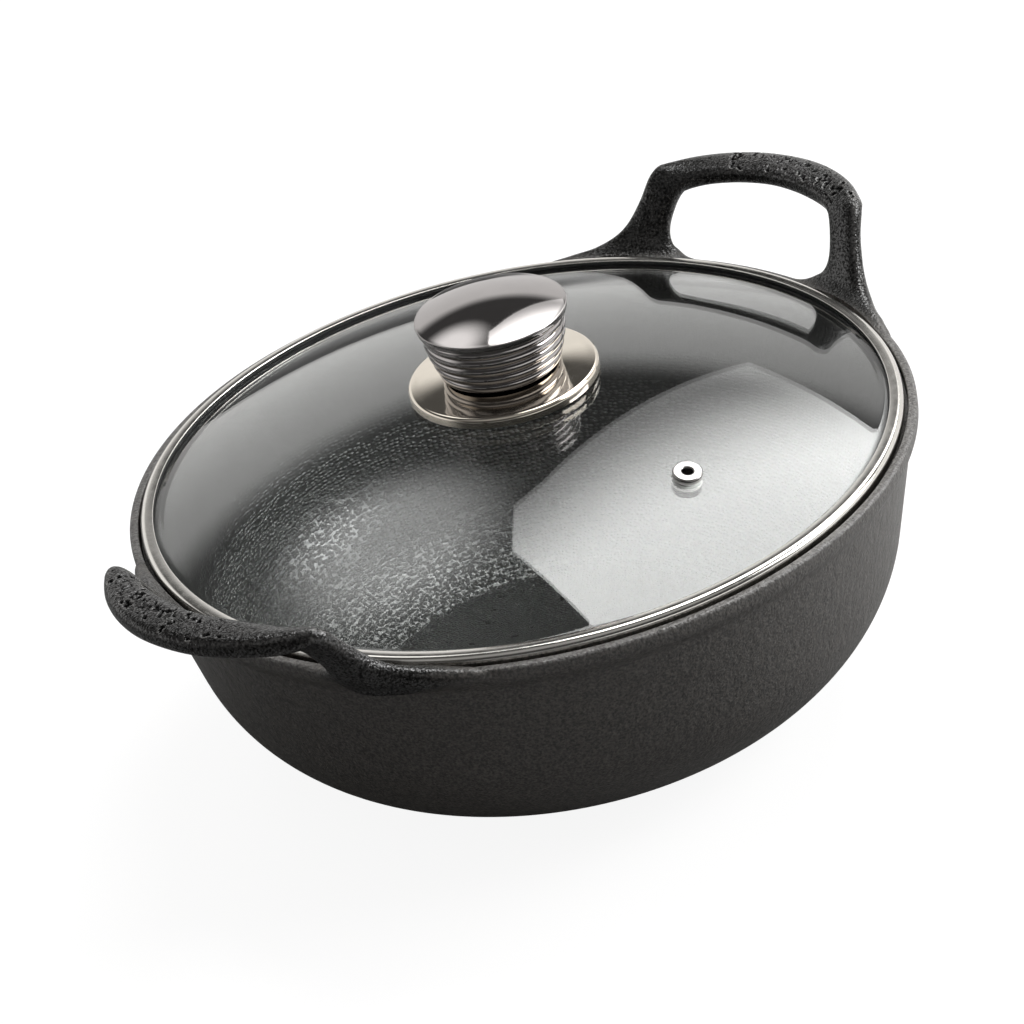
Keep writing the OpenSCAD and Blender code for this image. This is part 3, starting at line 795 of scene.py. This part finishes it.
def make_plate(material):
    """The polished plate under the knob, with a rolled edge and a groove inside it."""
    t, r = PLATE_T, PLATE_ROUND
    plate_r = PLATE_HIGH.x
    cone_r = plate_r - r
    hub_z = PLATE_HIGH.z
    edge_z = hub_z - PLATE_DROP
    hole_r = 2.55 * MM
    outline = [(hole_r, hub_z - t), (hole_r, hub_z)]
    outline += arc((PLATE_HUB_R - 1 * MM, hub_z - 4 * MM), 4 * MM, 90, 82, 3)
    outline += line((PLATE_HUB_R, hub_z - 0.12 * MM), (cone_r - 1.2 * MM, edge_z + 0.1 * MM), 8)
    outline += arc((cone_r, edge_z - r), r, 84, 0, 10)
    outline += [(plate_r, PLATE_LOW.z + 0.3 * MM), (plate_r - 0.3 * MM, PLATE_LOW.z),
                (plate_r - t, PLATE_LOW.z)]
    outline += arc((cone_r, edge_z - r), r - t, 0, 75, 5)
    outline += [(PLATE_HUB_R, hub_z - t)]
    plate = lathe("knob_base_plate", outline, ring=True)
    place(plate, "lid", "plate_steel", material, "knob_plate")


def make_eyelet(material):
    """The steel eyelet in the steam hole, with rounded flanges."""
    h, top = VENT_FLANGE_H, VENT_RING_T + SLIM
    foot = -GLASS_T - VENT_RING_T - 2 * SLIM
    q = h / 2
    outline = arc((VENT_BORE_R + q, foot - h + q), q, 180, 270, 6)
    outline += arc((VENT_FLANGE_R - q, foot - q), q, -90, 90, 10)
    outline += [(VENT_BARREL_R, foot), (VENT_BARREL_R, top)]
    outline += arc((VENT_FLANGE_R - q, top + q), q, -90, 90, 10)
    outline += arc((VENT_BORE_R + q, top + h - q), q, 90, 180, 6)
    eyelet = lathe("vent_eyelet_ring", outline, around=96, ring=True)
    place(at_vent(eyelet), "lid", "screw_steel", material, "vent_eyelet")


class Graph:
    """The node tree of a material or world, with short calls for the nodes that it needs."""

    def __init__(self, owner, output_kind, place_kind):
        self.owner = owner
        owner.use_nodes = True
        self.nodes, self.links = owner.node_tree.nodes, owner.node_tree.links
        self.nodes.clear()
        self.output = self.add(output_kind)
        self.place = self.add("TexCoord").outputs[place_kind]

    def feed(self, node, inputs):
        """Links a node's inputs to the sockets given, or sets them to the plain values given."""
        for name, value in inputs.items():
            if isinstance(value, bpy.types.NodeSocket):
                self.links.new(value, node.inputs[name])
            else:
                node.inputs[name].default_value = value

    def add(self, kind, inputs=None, **settings):
        """A new node, with its settings and inputs."""
        node = self.nodes.new("ShaderNode" + kind)
        for name, value in settings.items():
            setattr(node, name, value)
        self.feed(node, inputs or {})
        return node

    def show(self, shader):
        self.feed(self.output, {"Surface": shader})

    def math(self, operation, a, b):
        """The result of a Math node on two numbers."""
        return self.add("Math", {0: a, 1: b}, operation=operation).outputs[0]

    def times(self, a, b):
        return self.math("MULTIPLY", a, b)

    def along(self, way):
        """How far the place lies along a direction."""
        node = self.add("VectorMath", {0: self.place, 1: way}, operation="DOT_PRODUCT")
        return node.outputs["Value"]

    def length(self, vector):
        node = self.add("VectorMath", {0: vector}, operation="LENGTH")
        return node.outputs["Value"]

    def span(self, source, low, high, to_low, to_high, kind="LINEAR"):
        """A number that goes from one value to another while the source goes from low to high."""
        inputs = {"Value": source, "From Min": low, "From Max": high,
                  "To Min": to_low, "To Max": to_high}
        return self.add("MapRange", inputs, interpolation_type=kind).outputs["Result"]

    def eased(self, source, low, high, to_low, to_high):
        """The same with a soft start and end."""
        return self.span(source, low, high, to_low, to_high, "SMOOTHSTEP")

    def wander(self, noise, low, high):
        """A number that goes from low to high over the middle range of a noise."""
        return self.span(noise, 0.3, 0.7, low, high)

    def noise(self, scale, detail, roughness, stretch=(1, 1, 1)):
        """A soft noise over the place."""
        vector = self.add("Mapping", {"Vector": self.place, "Scale": stretch}).outputs[0]
        inputs = {"Vector": vector, "Scale": scale, "Detail": detail, "Roughness": roughness}
        return self.add("TexNoise", inputs).outputs["Fac"]

    def ring_cells(self, reach, scale, randomness):
        """Distances in cells that are round at a radius and drawn out round the axis beyond."""
        axes = self.add("SeparateXYZ", {0: self.place}).outputs
        flat = self.add("CombineXYZ", {"X": axes["X"], "Y": axes["Y"]}).outputs[0]
        turned = self.times(self.math("ARCTAN2", axes["Y"], axes["X"]), reach)
        rolled = {"X": self.length(flat), "Y": turned, "Z": axes["Z"]}
        vector = self.add("CombineXYZ", rolled).outputs[0]
        inputs = {"Vector": vector, "Scale": scale, "Randomness": randomness}
        return self.add("TexVoronoi", inputs).outputs["Distance"]

    def ramp(self, source, low, low_colour, high, high_colour):
        """A colour that goes from one to another while the source goes from low to high."""
        node = self.add("ValToRGB", {"Fac": source})
        first, last = node.color_ramp.elements
        first.position, first.color = low, low_colour
        last.position, last.color = high, high_colour
        return node.outputs["Color"]

    def mix(self, share, low, high):
        """A number between two, by the share of the second."""
        return self.add("Mix", {0: share, 2: low, 3: high}, data_type="FLOAT").outputs[0]

    def mix_colours(self, share, low, high):
        """The same with colours."""
        return self.add("Mix", {0: share, 6: low, 7: high}, data_type="RGBA").outputs[2]

    def bump(self, height, distance, strength, under=None):
        """A bumped normal, laid over another one where that is given."""
        inputs = {"Height": height, "Distance": distance, "Strength": strength}
        if under is not None:
            inputs["Normal"] = under
        return self.add("Bump", inputs).outputs["Normal"]

    def light(self, kind, colour, strength):
        """An Emission or Background shader."""
        return self.add(kind, {"Color": colour, "Strength": strength}).outputs[0]

    def both(self, first, second):
        """The sum of two shaders."""
        return self.add("AddShader", {0: first, 1: second}).outputs[0]

    def either(self, share, first, second):
        """The first shader or the second, by the share of the second."""
        return self.add("MixShader", {0: share, 1: first, 2: second}).outputs[0]


class Material(Graph):
    """A node material with a Principled shader."""

    def __init__(self, name):
        super().__init__(bpy.data.materials.new(name), "OutputMaterial", "Object")
        self.shader = self.add("BsdfPrincipled")
        self.show(self.shader.outputs["BSDF"])

    def dress(self, inputs):
        """Feeds the shader and gives the material."""
        self.feed(self.shader, inputs)
        return self.owner


def straight_through(g, rays):
    """1 for a view straight through the glass, and 0 for light that was reflected first."""
    share = rays["Is Transmission Ray"]
    for depth in ("Glossy Depth", "Diffuse Depth"):
        share = g.times(share, g.math("LESS_THAN", rays[depth], 0.5))
    return share


def seen_directly(g, rays):
    """1 where the camera sees it, also through the glass, and 0 for all other light."""
    return g.math("MAXIMUM", rays["Is Camera Ray"], straight_through(g, rays))


def grey(value, warm=0.0):
    """A grey with a little warmth: red up and blue down by the share given."""
    return (value * (1 + warm), value, value * (1 - warm), 1)


def iron_colour(g, share, pebbles):
    """Grey outside, black on grips, pebbled on the floor with painted highlight on pebble tops and
    painted shade between them, pale where worn with a painted edge highlight, and black in pits
    as painted shade.
    """
    fine = g.noise(1000, 2, 0.6)
    outside = g.ramp(fine, 0.38, grey(0.016, 0.09), 0.64, grey(0.072, 0.10))
    grip = g.ramp(fine, 0.42, grey(0.002, 0.04), 0.66, grey(0.022, 0.04))
    # Pebble tops paler and gaps darker: pebbled texture with painted highlight and painted shade
    floor = g.ramp(pebbles, 0.15, grey(0.075, 0.03), 0.60, grey(0.012, 0.03))
    # Pale on worn edges over the rim, and a painted highlight along the rim's top edge
    worn_and_highlit = g.times(share["wear_and_highlight"], g.span(g.noise(900, 4, 0.7), 0.42, 0.58, 0.0, 1.0))
    colour = outside
    # Black in the pits, deeper ones darker, is painted shade
    for part, over in ((share["inner"], grey(0.010, 0.03)), (share["inside"], floor),
                       (share["handle"], grip), (worn_and_highlit, grey(0.16, 0.03)),
                       (share["pit"], grey(0.002))):
        colour = g.mix_colours(part, colour, over)
    return colour


def iron_gloss(g, share):
    """Roughness and shine: smoother and sandier grips, a shinier floor, and no shine in pits."""
    uneven = g.noise(160, 4, 0.6)
    rough = g.mix(share["handle"], g.wander(uneven, 0.36, 0.48), g.wander(uneven, 0.13, 0.24))
    rough = g.mix(share["inside"], rough, g.wander(uneven, 0.26, 0.38))
    sand = g.span(g.noise(1250, 1, 0.5), 0.40, 0.60, 0.08, 0.80)
    shine = g.mix(share["handle"], g.wander(uneven, 0.64, 0.80), sand)
    shine = g.mix(share["inside"], shine, 1.0)
    return rough, g.mix(share["pit"], shine, 0.0)


def iron_skin(g, share, pebbles):
    """Bumps: pebbles on the floor, a fine grain and a coarser one that is faint on the handles."""
    raised = g.times(share["inside"], g.span(pebbles, 0.15, 0.58, 1.0, 0.0))
    rough_side = g.span(share["inner"], 0.0, 1.0, 1.0, 0.1)
    bare_side = g.span(share["handle"], 0.0, 1.0, 1.0, 0.12)
    grain = g.times(g.noise(1200, 1, 0.5), rough_side)
    coarse = g.times(g.times(g.noise(420, 2, 0.5, (1, 1, 0.45)), bare_side), rough_side)
    skin = g.bump(raised, 0.8 * MM, 1.0)
    skin = g.bump(grain, 0.28 * MM, 0.9, skin)
    return g.bump(coarse, 0.6 * MM, 0.8, skin)


def iron_material():
    """Seasoned iron, by the shares that are stored on the casting's points."""
    g = Material("seasoned_cast_iron")
    share = {name: g.add("Attribute", attribute_name=name).outputs["Fac"]
             for name in ("wear_and_highlight", "handle", "pit", "inside", "inner")}
    pebbles = g.ring_cells(PEBBLE_RING_R, 820, 0.6)
    rough, shine = iron_gloss(g, share)
    return g.dress({"Base Color": iron_colour(g, share, pebbles), "Roughness": rough,
                    "Specular IOR Level": shine, "Normal": iron_skin(g, share, pebbles)})


def glass_material():
    """Clear glass that lets the lamps' light through to the bowl."""
    g = Material("clear_tempered_glass")
    film = g.span(g.noise(25, 3, 0.5), 0.35, 0.75, 0.0, 0.012)
    g.dress({"Base Color": (0.965, 0.985, 0.975, 1), "Transmission Weight": 1.0, "IOR": 1.52,
             "Roughness": film})
    rays = g.add("LightPath").outputs
    clear = g.add("BsdfTransparent", {"Color": (0.90, 0.92, 0.91, 1)}).outputs[0]
    g.show(g.either(rays["Is Shadow Ray"], g.shader.outputs["BSDF"], clear))
    return g.owner


def steel_material(name, colour, rough_low, rough_high, scratch):
    """Polished metal, with a slightly uneven polish and faint scratches."""
    g = Material(name)
    dim = tuple(c * 0.93 for c in colour)
    return g.dress({"Metallic": 1.0,
                    "Base Color": g.ramp(g.noise(60, 4, 0.5), 0.35, (*dim, 1), 0.65, (*colour, 1)),
                    "Roughness": g.wander(g.noise(220, 4, 0.6), rough_low, rough_high),
                    "Normal": g.bump(g.noise(900, 3, 0.6), scratch, 0.35)})


def moulded_material(name, low, high, rough, grain):
    """Moulded rubber or plastic, with a fine matt grain."""
    g = Material(name)
    uneven = 0.06
    return g.dress({"Base Color": g.ramp(g.noise(90, 4, 0.5), 0.3, low, 0.7, high),
                    "Roughness": g.wander(g.noise(300, 3, 0.5), rough - uneven, rough + uneven),
                    "Normal": g.bump(g.noise(2500, 3, 0.6), grain, 0.5)})


def dress_frame_nodes(steel, brass, black, pale, core):
    """Node materials for the CAD nodes that keep their own shape."""
    looks = {"lid_band_seal": black, "plate_gasket": black, "screw_pad": black,
             "vent_gasket": pale, "vent_lower_ring": pale, "knob_core": core,
             "knob_insert": brass, "screw_washer": steel, "knob_screw": steel}
    for name, material in looks.items():
        paint(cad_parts[name], material)


def make_floor():
    """A plain pale floor that shows white and keeps the object's shadow. In reflections it also
    glows on the right of the wok, which lights that side of the outer wall."""
    half = 6.0
    corners = [(-half, -half, 0), (half, -half, 0), (half, half, 0), (-half, half, 0)]
    floor = add_mesh("studio_floor", corners, [(0, 1, 2, 3)])
    g = Material("studio_floor_paper")
    g.dress({"Base Color": g.ramp(g.noise(3, 2, 0.5), 0.3, grey(0.27), 0.7, grey(0.29)),
             "Roughness": 0.9})
    rays = g.add("LightPath").outputs
    right = g.eased(g.along(RIGHT_WAY), 0.08, 0.30, 0.0, 0.7)
    glow = g.light("Emission", WARM_WHITE, g.times(right, rays["Is Glossy Ray"]))
    paper = g.both(g.shader.outputs["BSDF"], glow)
    shadow = g.add("BsdfDiffuse", {"Color": grey(0.17)}).outputs[0]
    white = g.both(shadow, g.light("Emission", grey(1), 0.90))
    g.show(g.either(seen_directly(g, rays), paper, white))
    g.owner.cycles.emission_sampling = "NONE"
    paint(floor, g.owner)


def light_world():
    """An even soft fill, and white behind the object. Reflections see pale low walls instead, that
    go dark overhead and toward the photograph's side, with a dim light high on that side."""
    world = bpy.data.worlds.new("studio")
    bpy.context.scene.world = world
    g = Graph(world, "OutputWorld", "Generated")
    rays = g.add("LightPath").outputs
    height = g.add("SeparateXYZ", {0: g.place}).outputs["Z"]
    side = g.along(NEAR_WAY)
    low_walls = g.times(g.eased(height, 0.39, 0.53, 1.0, 0.08),
                        g.eased(side, 0.05, 0.55, 1.0, 0.06))
    near_ceiling = g.times(g.eased(height, 0.42, 0.66, 0.0, 0.32),
                           g.eased(side, 0.05, 0.45, 0.0, 1.0))
    walls = g.light("Background", WARM_WHITE, g.math("ADD", low_walls, near_ceiling))
    fill = g.light("Background", (1.0, 0.99, 0.98, 1), 0.4)
    mirrored = g.math("GREATER_THAN", rays["Glossy Depth"], 0.5)
    white = g.light("Background", grey(1), 1.0)
    g.show(g.either(seen_directly(g, rays), g.either(mirrored, fill, walls), white))


def direction(azimuth, elevation):
    """A unit vector at an azimuth from +X and an elevation, both in degrees."""
    a, e = math.radians(azimuth), math.radians(elevation)
    return Vector((math.cos(e) * math.cos(a), math.cos(e) * math.sin(a), math.sin(e)))


def placed(x_way, y_way, z_way, place_at):
    """The matrix with these three axes at a place."""
    matrix = Matrix((x_way, y_way, z_way)).transposed().to_4x4()
    matrix.translation = place_at
    return matrix


def side_lamp():
    """A broad area lamp from the side, aimed at the lid."""
    wide, high, distance, radiance = 0.9, 0.7, 1.5, 8.0
    data = bpy.data.lights.new("side", "AREA")
    data.shape = "RECTANGLE"
    data.size, data.size_y = wide, high
    data.energy = radiance * math.pi * wide * high
    lamp = new_object("side", data)
    lamp.location = LIGHT_TARGET + direction(-48, 30) * distance
    lamp.rotation_mode = "QUATERNION"
    lamp.rotation_quaternion = (LIGHT_TARGET - lamp.location).to_track_quat("-Z", "Y")
    lamp.visible_camera = False


def card_light(name, lean, start, end):
    """A glow on an otherwise clear card, hidden from a view straight through the glass. It goes
    from start[1] where the sum of x, y and distance, weighted by lean, is start[0], to end[1]
    where that sum is end[0]."""
    g = Graph(bpy.data.materials.new(name), "OutputMaterial", "Object")
    slope = {0: g.length(g.place), 1: lean[2], 2: g.along((lean[0], lean[1], 0))}
    sum_there = g.add("Math", slope, operation="MULTIPLY_ADD").outputs[0]
    strength = g.eased(sum_there, start[0], end[0], start[1], end[1])
    clear = g.add("BsdfTransparent").outputs[0]
    lit = g.both(clear, g.light("Emission", (1, 1, 0.99, 1), strength))
    rays = g.add("LightPath").outputs
    g.show(g.either(straight_through(g, rays), lit, clear))
    return g.owner


def make_card(name, azimuth, elevation, corners, light):
    """A glowing card that faces the lid, with its middle in a direction from it."""
    way = direction(azimuth, elevation)
    side = Vector((0, 0, 1)).cross(way).normalized()
    card = add_mesh(name, [(x, y, 0) for x, y in corners], [tuple(range(len(corners)))])
    card.matrix_world = placed(side, way.cross(side), way, LIGHT_TARGET + way * CARD_DISTANCE)
    paint(card, light)
    card.visible_camera = False
    card.visible_shadow = False


def window_card():
    """The main light: a bright card, seen on the glass as the window-like reflection."""
    corners = [(0.03, -0.624), (-0.371, -0.468), (-0.534, -0.054), (-0.567, 0.418),
               (-0.379, 0.767), (-0.047, 0.829), (0.304, 0.490), (0.336, 0.288), (0.279, 0.170)]
    light = card_light("window_card_light", (-1.3, 0.7, 0), (-0.35, 0.9), (0.35, 7.0))
    make_card("window_card", 20, 50, corners, light)


def soft_card():
    """A soft round light that shines on the near side of the lid and in the knob's cap."""
    radius = 0.40
    turns = [2 * math.pi * k / 32 for k in range(32)]
    corners = [(radius * math.cos(t), radius * math.sin(t)) for t in turns]
    light = card_light("soft_card_light", (0, 0, 1), (0.10, 1.8), (radius, 0))
    make_card("soft_card", 74, 55, corners, light)


def add_camera():
    """The camera where the photograph was taken from."""
    azimuth, elevation, roll = (math.radians(x) for x in CAMERA_TURNS)
    back = Vector((math.sin(azimuth) * math.cos(elevation),
                   -math.cos(azimuth) * math.cos(elevation), math.sin(elevation)))
    level = Vector((math.cos(azimuth), math.sin(azimuth), 0))
    rise = back.cross(level)
    right = math.cos(roll) * level - math.sin(roll) * rise
    up = math.sin(roll) * level + math.cos(roll) * rise
    data = bpy.data.cameras.new("camera")
    data.sensor_width = 36
    data.lens = CAMERA_LENS
    camera = new_object("camera", data)
    place_at = back * CAMERA_DISTANCE + right * CAMERA_RIGHT + up * CAMERA_UP \
        + Vector((0, 0, BAND_HIGH.z))
    camera.matrix_world = placed(right, up, back, place_at)
    bpy.context.scene.camera = camera


add_camera()
iron = iron_material()
glass = glass_material()
band_steel = steel_material("polished_band_steel", (0.76, 0.74, 0.70), 0.10, 0.20, 0.02 * MM)
chrome = steel_material("mirror_knob_steel", (0.40, 0.38, 0.375), 0.03, 0.07, 0.01 * MM)
plate_steel = steel_material("warm_plate_steel", (0.76, 0.70, 0.61), 0.05, 0.11, 0.01 * MM)
plain_steel = steel_material("plain_screw_steel", (0.42, 0.41, 0.40), 0.16, 0.30, 0.03 * MM)
brass = steel_material("turned_brass", (0.75, 0.58, 0.28), 0.20, 0.32, 0.03 * MM)
black_rubber = moulded_material("black_silicone", grey(0.018), grey(0.026), 0.55, 0.03 * MM)
pale_rubber = moulded_material("pale_silicone", grey(0.62, 0.02), grey(0.70, 0.02), 0.45,
                               0.02 * MM)
core_plastic = moulded_material("black_moulding", grey(0.020), grey(0.030), 0.45, 0.04 * MM)

make_casting(iron)
make_glass(glass)
make_band(band_steel)
make_cap(chrome)
make_shell(chrome)
make_plate(plate_steel)
make_eyelet(plain_steel)
dress_frame_nodes(plain_steel, brass, black_rubber, pale_rubber, core_plastic)
make_floor()
light_world()
side_lamp()
window_card()
soft_card()

bpy.context.scene.view_settings.view_transform = "Standard"
